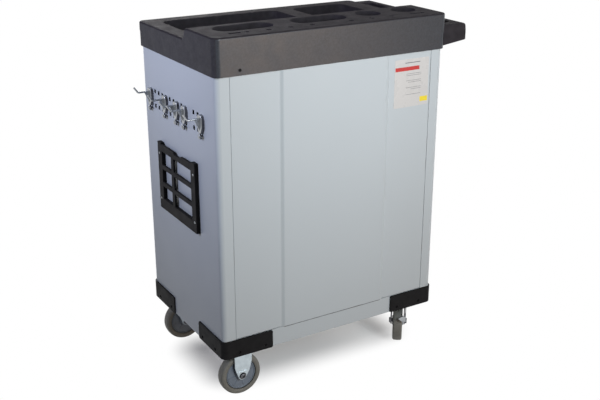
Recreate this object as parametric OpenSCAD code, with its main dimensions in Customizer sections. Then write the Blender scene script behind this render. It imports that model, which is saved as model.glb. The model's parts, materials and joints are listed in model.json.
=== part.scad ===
// Rolling tool cart: a closed steel drawer cabinet under a moulded top tray,
// on two fixed and two braked swivel casters.
// Millimetres. +Z is up, -Y is the drawer side, +X is the end with the hooks,
// -X is the end with the push handle. The floor is z = 0.

/* [Steel body] */
// Width of the body, end panel to end panel
body_w = 618; // [606:1:624]
// Depth of the body, drawer side to back
body_d = 414; // [400:1:420]
// Radius of the body's upright corners
corner_r = 12; // [10:1:16]
// Height of the underside of the base skirt
base_z = 127; // [126:1:130]
// Height of the top of the base skirt
skirt_top = 173; // [168:1:173]
// Height where the top tray's apron starts
apron_z = 815; // [812:1:815]
// Sheet thickness of the panels
sheet_t = 1.2; // [0.8:0.1:1.4]

/* [Back panel] */
// Distance of the panel's upright seams from the middle
back_seam = 275.5; // [270:0.5:280]
// Distance of the two pressed steps from the middle
rib_x = 146; // [120:1:150]
// How far the middle field stands out
rib_step = 4; // [1:0.5:4]
// Width of the sloping band at each step
rib_run = 7; // [4:1:12]

/* [Drawers] */
// Face height of the lowest drawer
bottom_drawer_h = 152; // [140:1:154]
// Face height of the drawer above it
second_drawer_h = 116; // [100:1:118]
// Face height of each of the four upper drawers
upper_drawer_h = 81; // [75:1:82]
// Gap between drawer faces
drawer_gap = 3; // [2:0.5:3]
// Distance of the front opening's edges from the middle
front_seam = 286; // [286:0.5:288]
// Full travel of a drawer
drawer_travel = 350; // [250:10:350]

/* [Top tray] */
// Tray overhang past the body at each end
over_x = 5; // [4:1:10]
// Tray overhang past the body at front and back
over_y = 7; // [7:1:10]
// Top of the low front part
tray_low_z = 875; // [865:1:880]
// Top of the raised strip at the back
tray_high_z = 901; // [895:1:910]
// Wall of the moulding
tray_wall = 2.6; // [2:0.1:2.6]
// Radius of the tray's upright corners
tray_r = 16; // [12:1:20]
// Depth position where the rise to the back strip starts
rise_y = 50; // [50:1:60]
// Depth taken by the rise
rise_run = 22; // [10:1:22]
// Floor height of the two big pockets
pocket_floor_z = 850; // [840:1:860]
// Floor height of the two oval pockets
oval_floor_z = 858; // [845:1:870]
// Radius of the can holders
can_r = 31.5; // [25:0.5:33]
// Depth of the can holders
can_depth = 68; // [40:1:70]

/* [Push handle] */
// Reach of the handle past the tray
handle_reach = 73; // [66:1:90]
// Width of the handle across the cart
handle_w = 410; // [360:2:412]
// Thickness of the handle's arms and grip
handle_bar = 30; // [27:1:34]

/* [Hooks and holder frame] */
// Pitch of the square holes along the end panel
hole_pitch = 22.3; // [20:0.1:23]
// Side of each square hole
hole_side = 10; // [8:0.5:12]
// Height of the lower row of holes
hole_row_z = 675.5; // [640:0.5:680]
// Distance between the two rows of holes
hole_row_gap = 36.5; // [34:0.5:38]
// Wire diameter of the tool hooks
hook_wire = 4.5; // [3:0.5:6]
// Reach of a hook past the end panel
hook_reach = 48; // [35:1:60]
// Outer width of the holder frame
holder_w = 215; // [180:1:240]
// Outer height of the holder frame
holder_h = 172; // [150:1:190]
// Depth of the holder frame
holder_t = 10; // [9:1:14]

/* [Casters] */
// Wheel diameter
wheel_d = 109; // [104:1:112]
// Width of the tyre
wheel_w = 25.5; // [24:0.5:27]
// Diameter where the tyre sits on the hub
hub_d = 82; // [70:1:90]
// Axle bolt diameter
axle_d = 10; // [8:1:12]
// Distance of the fixed casters from the middle along the body
fixed_x = 249; // [240:1:256]
// Distance of the fixed casters from the middle across the body
fixed_y = 166; // [150:1:168]
// Distance of the swivel stems from the middle along the body
swivel_x = 272; // [255:1:272]
// Distance of the swivel stems from the middle across the body
swivel_y = 121; // [115:1:145]
// Trail from swivel stem to wheel axle
trail = 32; // [28:1:34]
// Heading of the swivel caster at the back, in degrees
turn_back = 232; // [0:1:359]
// Heading of the swivel caster at the drawer side, in degrees
turn_front = 109; // [0:1:359]

/* [Bumpers] */
// Length of each leg, measured from the outer corner
bumper_leg = 136; // [100:1:150]
// Thickness of the moulding
bumper_t = 3.5; // [2.5:0.5:5]

/* [Hidden] */
$fn = 64;

eps = 0.5;            // overshoot of a cut past a face
hub_run = 0.06;       // radial running clearance of a bore on its pin
half_w = body_w / 2;
half_d = body_d / 2;
body_x = (handle_reach + over_x - hook_reach) / 2;
tray_w = body_w + 2 * over_x;
tray_d = body_d + 2 * over_y;

// heights inside the body
body_top = apron_z + 7;
deck_t = 1.5;
deck_z = body_top - deck_t;
floor_z = 158;
floor_t = 2;
flange = 12;            // return flanges of the sheet parts
seam_gap = 0.5;         // gap between a panel and its neighbour
skirt_t = 1.6;          // sheet of the skirt rails
drawer_h = concat([bottom_drawer_h, second_drawer_h], [for (i = [1 : 4]) upper_drawer_h]);
opening_z = skirt_top + 3;
rail_z = drawer_z(len(drawer_h));   // underside of the rail over the drawers
front_y = -half_d + 6;  // face of the drawers
rail_in = 2;            // side gap of the drawer faces and the rail

// slide sections
post_x = 288;         // inner face of the uprights
post_w = 30;
post_t = 1.5;
post_y = [-188, 150];
slide_len = drawer_travel + 14;
slide_y = -186 + slide_len / 2;   // middle of the slides
slide_rise = 32;      // middle of a slide above its drawer's lower edge
slide_h = 36;
slide_t = 1.2;
slide_play = 0.6;     // gap between one channel and the next inside it
slide_edge_x = [278, 277.5];      // open edges of the fixed and the middle channel
slide_mid_x = 285;
box_x = 273.6;        // outer side of a drawer box
box_t = 1;
box_back_y = 178;
box_low = 5;          // underside of a box above its face's lower edge
box_short = 21;       // how much lower a box is than its face
weld_gap = 0.05;      // seam between two sheets that are spot-welded
runner_w = 7.5;

// lock in the rail over the drawers
lock_pos = [236, rail_z + 13.5];
lock_r = 10;          // barrel
plug_r = 8;

// tray features, given as [x, y] of the middle and [width, depth]
big_pockets = [[[110, -63], [324, 218]], [[-178, -63], [160, 218]]];
ovals = [[194, 120], [-4, 120]];
oval_size = [147, 64];
cans = [[-146, 118], [-251, 118]];
driver_y = 178;
driver_d = 13;
driver_x = [216, 160, 104, 48, -59, -116.5, -174];
driver_slots = [[245, 30], [-248, 42]];  // [x, length]
slot_d = 10;
pocket_r = 22;
over_cut = 40;        // how far a pocket's cut runs past its rim

// handle, measured from the tray's end face
handle_z = [800, 890];    // range that its plan is extruded over
handle_top = 870.4;
handle_low = [820, 829];  // underside at the tray and at the tip
handle_root = [3, 8];     // height and length of the rise towards the tray
handle_lean = 6.5;        // how far the tip's face leans back
handle_round = 8;         // rounding of the tip's upper edge
handle_wall = 4;
handle_r = 10;
gap_r = 14;

// end panel features
hole_y0 = -135.2;     // the hole with index 0
hole_list = [-1, 0, 1, 2, 3, 4, 5, 6, 7, 8, 10, 11, 12];
hole_rows = [hole_row_z, hole_row_z + hole_row_gap];
hook_list = [-1, 3, 6, 8, 12];
hook_lean = 36;       // the tip leans out this far from upright
hook_tip = 17.5;
dish_t = [7.5, 5.9];  // depth of a hook's plate and of its hollow
holder_y = -6;
holder_z = 503;
holder_top = holder_z + holder_h / 2;
window_rows = [445.5, 491, 536.5];
window_h = 34;

card_t = 0.4;

// screws
screw_at = [44, 115];     // distances of a bumper leg's screws from the outer corner
screw_z = 138;
screw_r = 3.8;
screw_hole_r = 4;
bumper_z = [base_z - 0.5, skirt_top];
small_screw_r = 3.6;
holder_screws = [for (y = [-97, 100], z = [61, -58]) [y, z]];
apron_screws = [[252, 1], [252, -1], [-252, -1]];   // [x, side]
apron_screw_t = 1.4;

// caster heights
axle_z = wheel_d / 2;
hub_half = 10.5;      // half width of the hub's rim
hub_boss = [13, 15];  // radius and half width of the hub's boss
hub_web = 5.5;        // half thickness between boss and rim
plate_t = 3;
plate_z = floor_z - plate_t;
fork_in = 16;         // inner face of a fork leg
leg_t = 3;
crown_z = [142, 148.6];
race_z = 149;
pin_r = 6;
crown_r = 28;
pin_foot = [10, 4];   // radius and height of the head under the pin
leg_r = 15;           // rounded lower end of a leg
brake_pivot = [-34, 104];
brake_pin_r = 4;
brake_gap = 1;        // between a leg and the brake lever
brake_t = 2;

function drawer_z(i) = i == 0 ? opening_z : drawer_z(i - 1) + drawer_h[i - 1] + drawer_gap;
function hole_y(k) = hole_y0 + hole_pitch * k;
function slide_z(i) = drawer_z(i) + slide_rise;

steel_grey = [0.74, 0.77, 0.79];
end_grey = [0.60, 0.63, 0.72];
moulded = [0.27, 0.26, 0.27];
bumper_black = [0.15, 0.15, 0.15];
zinc = [0.70, 0.75, 0.78];
tyre_grey = [0.37, 0.37, 0.33];
hub_grey = [0.42, 0.46, 0.50];
alloy = [0.78, 0.79, 0.80];

// ---------- shared shapes ----------

// Puts body coordinates into the part's frame
module placed() {
  translate([body_x, 0, 0]) children();
}

// Rectangle with round corners
module soft_square(w, d, r) {
  square([w - 2 * r, d], center = true);
  square([w, d - 2 * r], center = true);
  for (x = [-1, 1], y = [-1, 1]) translate([x * (w / 2 - r), y * (d / 2 - r)]) circle(r = r);
}

// The same, as a slab standing on z = 0
module soft_slab(w, d, h, r) {
  linear_extrude(h) soft_square(w, d, r);
}

// Outline in X and Z, extruded along Y about y = 0
module along_y(h) {
  rotate([90, 0, 0]) linear_extrude(h, center = true) children();
}

// Outline in Y and Z, extruded along X about x = 0
module along_x(h) {
  rotate([90, 0, 90]) linear_extrude(h, center = true) children();
}

// Cylinder lying along X, starting at the origin
module rod_x(r, h) {
  rotate([0, 90, 0]) cylinder(r = r, h = h);
}

// Cylinder lying along Y, starting at the origin
module rod_y(r, h) {
  rotate([-90, 0, 0]) cylinder(r = r, h = h);
}

// Box from one corner to the opposite one
module block(a, b) {
  translate(a) cube(b - a);
}

// ---------- steel body ----------

// Plan of an end panel: flat end, round corners, and short returns to the seams
module end_plan() {
  intersection() {
    difference() {
      soft_square(body_w, body_d, corner_r);
      soft_square(body_w - 2 * sheet_t, body_d - 2 * sheet_t, corner_r - sheet_t);
    }
    union() {
      translate([back_seam, 0]) square([half_w, half_d + 1]);
      translate([front_seam, -half_d - 1]) square([half_w, half_d + 1]);
    }
  }
}

module end_panel() {
  translate([0, 0, base_z]) linear_extrude(body_top - base_z) end_plan();
  return_z = [floor_z + 4, deck_z - 2];
  inner_y = half_d - sheet_t;
  block([back_seam, inner_y - flange, return_z[0]], [back_seam + sheet_t, inner_y, return_z[1]]);
  block([front_seam, -inner_y, return_z[0]], [front_seam + sheet_t, -inner_y + flange, return_z[1]]);
}

module end_panel_right() {
  color(end_grey) placed() difference() {
    end_panel();
    for (k = hole_list, z = hole_rows)
      translate([half_w - sheet_t / 2, hole_y(k), z]) cube([4, hole_side, hole_side], center = true);
  }
}

module end_panel_left() {
  color(end_grey) placed() mirror([1, 0, 0]) end_panel();
}

// Back panel: two fields and a middle field that stands out, with return flanges
module back_panel() {
  edge = back_seam - seam_gap;
  low_z = skirt_top + seam_gap;
  fold = 10;
  outer = [[-edge, 0], [-rib_x - rib_run / 2, 0], [-rib_x + rib_run / 2, rib_step],
           [rib_x - rib_run / 2, rib_step], [rib_x + rib_run / 2, 0], [edge, 0]];
  inner = [for (i = [len(outer) - 1 : -1 : 0]) outer[i] - [0, sheet_t]];
  color(steel_grey) placed() translate([0, half_d, 0]) {
    translate([0, 0, low_z]) linear_extrude(body_top - low_z) polygon(concat(outer, inner));
    for (s = [-1, 1])
      translate([s * (edge - sheet_t / 2), -sheet_t - fold / 2, (skirt_top + deck_z) / 2])
        cube([sheet_t, fold, deck_z - skirt_top - 8], center = true);
  }
}

// Base: floor plate with a skirt rail at front and back
module base_frame() {
  color(steel_grey) placed() {
    translate([0, 0, floor_z])
      soft_slab(body_w - 2 * sheet_t - seam_gap, body_d - 2 * skirt_t, floor_t, corner_r - sheet_t);
    for (s = [-1, 1]) scale([1, s, 1]) {
      reach = (s > 0 ? back_seam : front_seam) - seam_gap;
      inner_y = half_d - skirt_t;
      block([-reach, inner_y, base_z], [reach, half_d, skirt_top]);
      block([-reach + 4, half_d - flange, base_z], [reach - 4, inner_y, base_z + skirt_t]);
    }
  }
}

// Sheet under the tray, with the rail over the drawers
module top_deck() {
  rail_x = front_seam - rail_in;
  back_y = front_y + sheet_t;
  color(steel_grey) placed() difference() {
    union() {
      translate([0, 0, deck_z])
        soft_slab(body_w - 2 * sheet_t - 2 * seam_gap, body_d - 4, deck_t, corner_r - sheet_t);
      block([-rail_x, front_y, rail_z], [rail_x, back_y, deck_z]);
      block([-rail_x + 2, back_y, rail_z], [rail_x - 2, front_y + flange, rail_z + sheet_t]);
    }
    translate([lock_pos.x, front_y - eps, lock_pos.y]) rod_y(lock_r + 0.1, 4);
  }
}

// Four channel posts that carry the slides
module uprights() {
  depth = half_w - sheet_t - post_x;
  color(zinc) placed() for (s = [-1, 1], y = post_y)
    scale([s, 1, 1]) translate([post_x, y, floor_z + floor_t]) difference() {
      cube([depth, post_w, deck_z - floor_z - floor_t]);
      translate([post_t, post_t, -eps]) cube([depth, post_w - 2 * post_t, deck_z]);
    }
}

// ---------- slides and drawers ----------

// Channel section with its web outside, from x0 out to x1
module channel(x0, x1, h, t) {
  difference() {
    translate([x0, -h / 2]) square([x1 - x0, h]);
    translate([x0 - eps, -h / 2 + t]) square([x1 - x0 - t + eps, h - 2 * t]);
  }
}

// The same outline on both sides of the body, as long as a slide
module slide_pair(z) {
  for (s = [-1, 1])
    scale([s, 1, 1]) translate([0, slide_y, z]) along_y(slide_len) children();
}

module slide_rails() {
  color(zinc) placed()
    for (i = [0 : len(drawer_h) - 1])
      slide_pair(slide_z(i)) channel(slide_edge_x[0], post_x, slide_h, slide_t);
}

// The middle members of one drawer's slides
module drawer_slides(i) {
  mid_h = slide_h - 2 * (slide_t + slide_play);
  color(zinc) placed() slide_pair(slide_z(i)) channel(slide_edge_x[1], slide_mid_x, mid_h, slide_t);
}

// Drawer: a box of five sheets, the folded face and the inner slide members on its sides,
// parted by the seams of their spot welds
module drawer(i) {
  z0 = drawer_z(i);
  color(steel_grey) placed() {
    drawer_face(z0, z0 + drawer_h[i]);
    drawer_box(z0 + box_low, z0 + box_low + drawer_h[i] - box_short);
    for (s = [-1, 1]) scale([s, 1, 1]) drawer_runner(slide_z(i));
  }
}

// Face with a return at its lower and upper edge
module drawer_face(low, top) {
  face_x = front_seam - rail_in;
  return_y = front_y + sheet_t + weld_gap;
  block([-face_x, front_y, low], [face_x, front_y + sheet_t, top]);
  for (z = [low, top - sheet_t])
    block([-face_x + 1, return_y, z], [face_x - 1, front_y + flange, z + sheet_t]);
}

// Floor, front, back and two sides, standing on the floor sheet
module drawer_box(low, top) {
  y0 = front_y + sheet_t + weld_gap;
  wall_z = low + box_t + weld_gap;
  block([-box_x, y0, low], [box_x, box_back_y, low + box_t]);
  for (y = [y0, box_back_y - box_t]) block([-box_x, y, wall_z], [box_x, y + box_t, top]);
  for (s = [-1, 1]) scale([s, 1, 1])
    block([box_x - box_t, y0 + box_t + weld_gap, wall_z], [box_x, box_back_y - box_t - weld_gap, top]);
}

// Inner slide member with its web against the box
module drawer_runner(z) {
  h = slide_h - 4 * (slide_t + slide_play);
  length = slide_len - 4;
  translate([box_x + weld_gap, slide_y - slide_len / 2, z - h / 2]) {
    cube([slide_t, length, h]);
    for (up = [0, h - slide_t]) translate([0, 0, up]) cube([runner_w, length, slide_t]);
  }
}

// Full-width pull along the top of a drawer face, with a finger lip
module drawer_pull(i) {
  top = drawer_z(i) + drawer_h[i] - 1;
  reach = 12;
  color(alloy) placed() translate([0, front_y, top]) along_x(2 * (front_seam - rail_in - 1))
    polygon([[0, 0], [-reach + 3, 0], [-reach + 1, -1], [-reach, -3], [-reach, -12], [-reach + 1.6, -12],
             [-reach + 1.6, -4], [-reach + 4, -2.2], [-1.8, -2.2], [-1.8, -26], [0, -26]]);
}

module lock_barrel() {
  color(zinc) placed() translate([lock_pos.x, front_y, lock_pos.y]) difference() {
    union() {
      translate([0, -3, 0]) rod_y(13, 3);
      rod_y(lock_r, 22);
    }
    translate([0, -4, 0]) rod_y(plug_r + hub_run, 30);
  }
}

// Lock plug with its key slot and the cam behind the rail
module lock_plug() {
  color(alloy) placed() translate([lock_pos.x, front_y, lock_pos.y]) {
    difference() {
      translate([0, -4, 0]) rod_y(plug_r, 29);
      block([-0.8, -5, -4], [0.8, 5, 4]);
    }
    block([-17, 23, -5], [0, 25, 5]);
  }
}

// ---------- top tray and handle ----------

// Section of the tray in Y and Z, drawn in by a wall's thickness
module tray_section(inset) {
  side = tray_d / 2 - inset;
  low = tray_low_z - inset;
  high = tray_high_z - inset;
  bottom = apron_z - (inset > 0 ? eps : 0);
  slope = atan((tray_high_z - tray_low_z) / rise_run);
  start = rise_y + inset * tan(slope / 2);
  steps = 10;
  rise = [for (k = [0 : steps]) [start + rise_run * k / steps,
          low + (high - low) * (1 - cos(180 * k / steps)) / 2]];
  polygon(concat([[-side, bottom], [-side, low]], rise, [[side, high], [side, bottom]]));
}

module tray_body(inset) {
  intersection() {
    along_x(tray_w) tray_section(inset);
    translate([0, 0, apron_z - 2])
      soft_slab(tray_w - 2 * inset, tray_d - 2 * inset, tray_high_z - apron_z + 4, tray_r - inset);
  }
}

// Every pocket of the tray: the cuts with a wall of 0, and the solid cups round them otherwise
module tray_pockets(wall) {
  past = wall > 0 ? wall : over_cut;    // up to the rim, or past it
  for (p = big_pockets)
    translate([p[0].x, p[0].y, pocket_floor_z - wall])
      soft_slab(p[1].x + 2 * wall, p[1].y + 2 * wall, tray_low_z - pocket_floor_z + past, pocket_r + wall);
  for (p = ovals)
    translate([p.x, p.y, oval_floor_z - wall])
      soft_slab(oval_size.x + 2 * wall, oval_size.y + 2 * wall, tray_high_z - oval_floor_z + past,
                oval_size.y / 2 - 0.01 + wall);
  for (p = cans)
    translate([p.x, p.y, tray_high_z - can_depth - wall]) cylinder(r = can_r + wall, h = can_depth + past);
}

module top_tray() {
  color(moulded) placed() difference() {
    union() {
      difference() {
        tray_body(0);
        tray_body(tray_wall);
      }
      tray_pockets(tray_wall);
    }
    tray_pockets(0);
    for (x = driver_x) translate([x, driver_y, tray_high_z - 10]) cylinder(d = driver_d, h = 20);
    for (s = driver_slots)
      translate([s[0], driver_y, tray_high_z - 10]) soft_slab(s[1], slot_d, 20, slot_d / 2 - 0.01);
  }
}

// Plan of the handle, drawn in by a wall's thickness; the tray's end face is at x = 0
module handle_plan(inset, root) {
  gap = handle_bar - inset;
  intersection() {
    difference() {
      soft_square(2 * (handle_reach - inset), handle_w - 2 * inset, handle_r - inset);
      soft_square(2 * (handle_reach - gap), handle_w - 2 * gap, gap_r + inset);
    }
    translate([-handle_reach, -handle_w / 2]) square([handle_reach + root, handle_w]);
  }
}

// Section of the handle in X and Z; the one that is drawn in is open underneath
module handle_section(inset, root) {
  r = handle_round - inset;
  tip = inset - handle_reach;
  top = handle_top - inset;
  crest = top + handle_root[0];
  arc = [for (a = [90 : 16 : 170]) [tip + handle_lean + r + r * cos(a), top - r + r * sin(a)]];
  if (inset > 0)
    polygon(concat([[root, handle_z[0]], [root, top]], arc, [[tip, handle_low[1]], [tip, handle_z[0]]]));
  else
    polygon(concat([[root, handle_low[0]], [root, crest], [0, crest], [-handle_root[1], top]], arc,
                   [[tip, handle_low[1] + 6], [tip + 1, handle_low[1] + 1], [tip + 5, handle_low[1]]]));
}

// Handle: a bail with a hand gap, open underneath like the tray and moulded onto its end
module push_handle() {
  color(moulded) placed() translate([-tray_w / 2, 0, 0]) difference() {
    handle_solid(0, handle_r / 2);
    handle_solid(handle_wall, -handle_wall);
    translate([tray_w / 2, 0, handle_z[0]]) soft_slab(tray_w, tray_d, handle_z[1] - handle_z[0], tray_r);
  }
}

module handle_solid(inset, root) {
  intersection() {
    along_y(handle_w) handle_section(inset, root);
    translate([0, 0, handle_z[0]]) linear_extrude(handle_z[1] - handle_z[0]) handle_plan(inset, root);
  }
}

// ---------- bumpers and small fixings ----------

// Round cuts or pins where a bumper's four screws are
module bumper_holes(r, start, h) {
  for (d = screw_at) {
    translate([half_w + bumper_t - d, half_d + start, screw_z]) rod_y(r, h);
    translate([half_w + start, half_d + bumper_t - d, screw_z]) rod_x(r, h);
  }
}

module bumper() {
  difference() {
    translate([0, 0, bumper_z[0]]) linear_extrude(bumper_z[1] - bumper_z[0]) intersection() {
      difference() {
        soft_square(body_w + 2 * bumper_t, body_d + 2 * bumper_t, corner_r + bumper_t);
        soft_square(body_w, body_d, corner_r);
      }
      translate([half_w + bumper_t - bumper_leg, half_d + bumper_t - bumper_leg]) square(bumper_leg + 1);
    }
    bumper_holes(screw_hole_r, -1, bumper_t + 2);
  }
}

module corner_bumper(sx, sy) {
  color(bumper_black) placed() scale([sx, sy, 1]) bumper();
}

// Round screw heads: in the bumpers, the holder frame and the tray's apron
module fixing_screws() {
  color(zinc) placed() {
    for (sx = [-1, 1], sy = [-1, 1]) scale([sx, sy, 1]) bumper_holes(screw_r, 0, 1.8);
    for (p = holder_screws)
      translate([half_w + holder_t, holder_y + p[0], holder_z + p[1]]) rod_x(small_screw_r, 1.6);
    for (p = apron_screws)
      translate([p[0], p[1] * (tray_d / 2 + apron_screw_t / 2) - apron_screw_t / 2, apron_z + 12])
        rod_y(small_screw_r, apron_screw_t);
  }
}

// One pressed hook bracket with its bent wire; x = 0 is the panel's face
module tool_hook() {
  low = hole_rows[0];
  top = hole_rows[1];
  wire_z = top - 4;
  elbow = hook_reach - hook_tip * sin(hook_lean) - hook_wire / 2 * cos(hook_lean);
  // dished plate
  difference() {
    along_hook(0, dish_t[0])
      polygon([[-12, top - 4], [-8, top + 4], [8, top + 4], [12, top - 4],
               [12, low + 14], [5, low - 1], [-5, low - 1], [-12, low + 14]]);
    along_hook(-1, dish_t[1] + 1)
      polygon([[-10.5, top - 4.5], [-7.2, top + 2.5], [7.2, top + 2.5], [10.5, top - 4.5],
               [10.5, low + 14.5], [4.2, low + 0.5], [-4.2, low + 0.5], [-10.5, low + 14.5]]);
  }
  // tongues through the panel
  for (z = [low, top]) block([seam_gap - sheet_t, -3.5, z - 1], [6, 3.5, z + 2]);
  // gusset under the wire
  along_y(2.4) polygon([[7, wire_z], [20, wire_z], [7, low + 3]]);
  // wire: straight, then turned up
  translate([6.5, 0, wire_z]) rod_x(hook_wire / 2, elbow - 6.5);
  translate([elbow, 0, wire_z]) sphere(d = hook_wire);
  translate([elbow, 0, wire_z]) rotate([0, hook_lean, 0]) cylinder(d = hook_wire, h = hook_tip);
}

// Outline in Y and Z, extruded along +X from x0
module along_hook(x0, h) {
  translate([x0, 0, 0]) rotate([90, 0, 90]) linear_extrude(h) children();
}

module tool_hooks() {
  color(zinc) placed() for (k = hook_list) translate([half_w, hole_y(k), 0]) tool_hook();
}

// Five-lobed thumb knob at the foot of each bracket
module hook_knobs() {
  color(zinc) placed() for (k = hook_list) translate([half_w, hole_y(k), hole_rows[0] - 8.5]) {
    rod_x(2.5, 4);
    translate([4, 0, 0]) rod_x(4.5, 7);
    for (a = [18 : 72 : 359]) rotate([a, 0, 0]) translate([5, 0, 5.2]) rod_x(2, 5);
  }
}

// Frame with two by three windows and a document pocket behind its bars
module holder_frame() {
  bar_y = [-29, -14];       // the upright bar
  side = 24;                // width of the sides
  post = [20, 3.5];         // width and height of the posts at the upper corners
  inner = [-holder_w / 2 + side, holder_w / 2 - side + 1];
  color(bumper_black) placed() translate([half_w, holder_y, 0]) difference() {
    union() {
      block([0, -holder_w / 2, holder_top - holder_h], [holder_t, holder_w / 2, holder_top]);
      for (y = [-holder_w / 2, holder_w / 2 - post.x])
        block([0, y, holder_top], [holder_t, y + post.x, holder_top + post.y]);
    }
    block([-eps, inner[0], window_rows[0]], [holder_t / 2, inner[1], holder_top + 1]);
    for (z = window_rows) {
      block([-eps, inner[0], z], [holder_t + eps, bar_y[0], z + window_h]);
      block([-eps, bar_y[1], z], [holder_t + eps, inner[1], z + window_h]);
    }
    along_hook(-eps, holder_t + 2 * eps) translate([0, holder_top])
      polygon([[-14, 1], [-8, -6], [26, -6], [32, 1]]);
  }
}

// Plain card on the back panel
module blank_card() {
  color("white") placed() block([-269, half_d, 680], [-167, half_d + card_t, 799]);
}

// ---------- casters ----------

// Moves local coordinates of a fixed caster to its corner
module at_fixed(sy) {
  placed() translate([fixed_x, sy * fixed_y, 0]) children();
}

// Moves local coordinates of a swivel caster to its stem; the wheel trails along -x
module at_swivel(sy) {
  heading = sy > 0 ? turn_back : turn_front;
  placed() translate([-swivel_x, sy * swivel_y, 0]) rotate([0, 0, heading]) children();
}

module mounting_plate() {
  translate([0, 0, plate_z]) soft_slab(77, 67, plate_t, 6);
  for (x = [-30, 30], y = [-25, 25]) translate([x, y, plate_z - 4]) cylinder(r = 5.5, h = 4, $fn = 6);
}

// Rounded lower end of a leg with the axle hole; the outline is given in X and Z
module leg(points, x) {
  for (s = [-1, 1]) translate([0, s * (fork_in + leg_t / 2), 0]) difference() {
    along_y(leg_t) {
      polygon(points);
      translate([x, axle_z]) circle(r = leg_r);
    }
    translate([x, -leg_t, axle_z]) rod_y(axle_d / 2 + 0.1, 2 * leg_t);
  }
}

module fixed_bracket(sy) {
  color(zinc) at_fixed(sy) {
    mounting_plate();
    leg([[-26, plate_z], [-22, plate_z - 14], [-22, axle_z + 12], [-13, axle_z - 7.5],
         [13, axle_z - 7.5], [22, axle_z + 12], [22, plate_z - 14], [26, plate_z]], 0);
  }
}

module swivel_plate(sy) {
  color(zinc) placed() translate([-swivel_x, sy * swivel_y, 0]) {
    rotate([0, 0, 90]) mounting_plate();
    translate([0, 0, race_z]) cylinder(r = 22, h = plate_z - race_z);
    foot_z = crown_z[0] - pin_foot[1] - 0.3;
    translate([0, 0, foot_z]) cylinder(r = pin_r, h = race_z - foot_z);
    translate([0, 0, foot_z]) cylinder(r = pin_foot[0], h = pin_foot[1]);
  }
}

module fork(sy) {
  color(zinc) at_swivel(sy) {
    difference() {
      translate([0, 0, crown_z[0]]) cylinder(r = crown_r, h = crown_z[1] - crown_z[0]);
      translate([0, 0, crown_z[0] - 1]) cylinder(r = pin_r + hub_run, h = 10);
    }
    leg([[18, crown_z[1]], [-24, crown_z[1]], [-27, base_z], [-40, 112], [-51, axle_z + 6],
         [-45, axle_z - 7.5], [-19, axle_z - 7.5], [-11, axle_z + 10], [10, 112]], -trail);
    pin_len = brake_gap + brake_t + 1.2;
    translate([brake_pivot.x, -fork_in - leg_t - pin_len, brake_pivot.y]) rod_y(brake_pin_r, pin_len);
  }
}

// Axle bolt with hex head and nut, along local Y through [x, axle_z]
module axle(x) {
  out = fork_in + leg_t;
  translate([x, -out, axle_z]) rod_y(axle_d / 2, 2 * out);
  for (s = [-1, 1]) translate([x, s * out, axle_z]) rotate([-90 * s, 0, 0]) {
    cylinder(r = 9.5, h = 1.2);
    translate([0, 0, 1.2]) cylinder(r = 8.6, h = s > 0 ? 6 : 4.4, $fn = 6);
  }
}

// Closes a wheel's half section, given from the bore outwards, with its mirror image
function both_sides(half, middle = []) =
  concat(half, middle, [for (i = [len(half) - 1 : -1 : 0]) [half[i].x, -half[i].y]]);

// Ribbed plastic hub about the local Y axis
module hub(x) {
  bore = axle_d / 2 + hub_run;
  rim = hub_d / 2;
  inner = rim - 5;
  half = [[bore, hub_boss[1]], [hub_boss[0], hub_boss[1]], [hub_boss[0], hub_web], [inner, hub_web],
          [inner, hub_half], [rim, hub_half]];
  translate([x, 0, axle_z]) rotate([90, 0, 0]) {
    rotate_extrude() polygon(both_sides(half));
    for (a = [0 : 45 : 359], s = [-1, 1]) rotate([0, 0, a]) scale([1, 1, s])
      block([hub_boss[0] - 0.5, -1, hub_web - 0.5], [inner + 0.5, 1, hub_web + 4]);
  }
}

// Tyre with a slightly crowned tread and round shoulders
module tyre(x) {
  r = wheel_d / 2;
  w = wheel_w / 2;
  rim = hub_d / 2;
  shoulder = 5.5;
  crown = 0.5;
  arc = [for (a = [90 : -15 : 0]) [r - crown - shoulder * (1 - cos(a)), w - shoulder * (1 - sin(a))]];
  translate([x, 0, axle_z]) rotate([90, 0, 0]) rotate_extrude()
    polygon(both_sides(concat([[rim, hub_half], [rim + 4, w]], arc), [[r, 0]]));
}

// Brake lever on the outside of one leg, with a foot tab bent behind the tread
module brake() {
  out = -fork_in - leg_t - brake_gap;
  p = brake_pivot;
  difference() {
    translate([0, out - brake_t / 2, 0]) along_y(brake_t) {
      translate(p) circle(r = 10);
      polygon([[p.x - 2, p.y + 10], [-89, 101], [-95, 97], [-95, 84], [-90, 82], [p.x, p.y - 10]]);
    }
    translate([p.x, out - 2 * brake_t, p.y]) rod_y(brake_pin_r + hub_run, 4 * brake_t);
  }
  translate([-93.5, 0, 0]) along_hook(-1, brake_t)
    polygon([[out - 2, 83], [out - 2, 98], [-12, 98], [-2, 91], [-12, 83]]);
}

module caster_axle(sy, fixed) {
  color(zinc) if (fixed) at_fixed(sy) axle(0); else at_swivel(sy) axle(-trail);
}

module caster_hub(sy, fixed) {
  color(hub_grey) if (fixed) at_fixed(sy) hub(0); else at_swivel(sy) hub(-trail);
}

module caster_tyre(sy, fixed) {
  color(tyre_grey) if (fixed) at_fixed(sy) tyre(0); else at_swivel(sy) tyre(-trail);
}

module caster_brake(sy) {
  color(zinc) at_swivel(sy) brake();
}

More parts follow.
